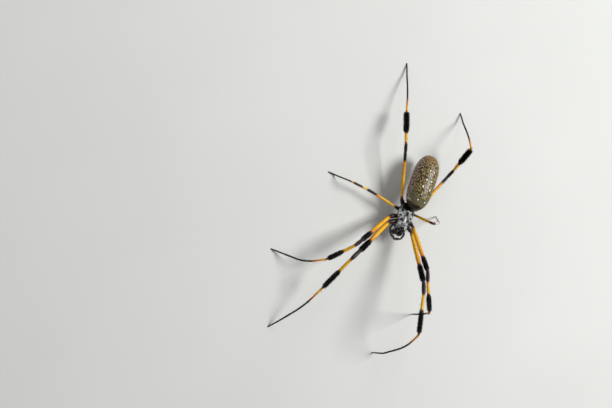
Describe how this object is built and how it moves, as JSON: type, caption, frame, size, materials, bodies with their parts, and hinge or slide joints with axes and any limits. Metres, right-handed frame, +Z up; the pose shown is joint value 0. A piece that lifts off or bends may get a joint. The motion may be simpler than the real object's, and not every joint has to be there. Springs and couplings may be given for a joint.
{
  "type": "golden silk orb weaver spider",
  "caption": "Still life-size golden silk orb weaver, standing with long brush-tufted legs spread unevenly, a silvery carapace and a long speckled abdomen.",
  "frame": {"origin": "on the floor, below the middle of the span of the feet", "axes": "+Z up, +Y from the head towards the tail, +X towards the spider's left"},
  "size_m": [0.0636, 0.1086, 0.0212],
  "materials": {
    "carapace": "silver-white hair over dark cuticle",
    "abdomen": "olive and golden brown cuticle with cream specks",
    "jaws": "glossy black cuticle",
    "dark_limb": "dark red-black cuticle, satin",
    "banded_limb": "yellow-orange cuticle banded with black bristles",
    "eyes": "glossy black"
  },
  "bodies": {
    "root": {"cephalothorax": "carapace", "abdomen": "abdomen", "spinnerets": "abdomen", "chelicera_left": "jaws", "chelicera_right": "jaws", "fang_left": "jaws", "fang_right": "jaws", "pedipalp_left": "dark_limb", "pedipalp_right": "dark_limb", "eye_median_front_left": "eyes", "eye_median_front_right": "eyes", "eye_median_rear_left": "eyes", "eye_median_rear_right": "eyes", "eye_side_front_left": "eyes", "eye_side_front_right": "eyes", "eye_side_rear_left": "eyes", "eye_side_rear_right": "eyes", "coxa1_left": "dark_limb", "coxa2_left": "dark_limb", "coxa3_left": "dark_limb", "coxa4_left": "dark_limb", "coxa1_right": "dark_limb", "coxa2_right": "dark_limb", "coxa3_right": "dark_limb", "coxa4_right": "dark_limb", "femur1_left": "banded_limb", "femur2_left": "banded_limb", "femur3_left": "banded_limb", "femur4_left": "banded_limb", "femur1_right": "banded_limb", "femur2_right": "banded_limb", "femur3_right": "banded_limb", "femur4_right": "banded_limb", "tibia1_left": "banded_limb", "tibia2_left": "banded_limb", "tibia3_left": "banded_limb", "tibia4_left": "banded_limb", "tibia1_right": "banded_limb", "tibia2_right": "banded_limb", "tibia3_right": "banded_limb", "tibia4_right": "banded_limb", "tarsus1_left": "banded_limb", "tarsus2_left": "banded_limb", "tarsus3_left": "banded_limb", "tarsus4_left": "banded_limb", "tarsus1_right": "banded_limb", "tarsus2_right": "banded_limb", "tarsus3_right": "banded_limb", "tarsus4_right": "banded_limb"}
  },
  "joints": []
}
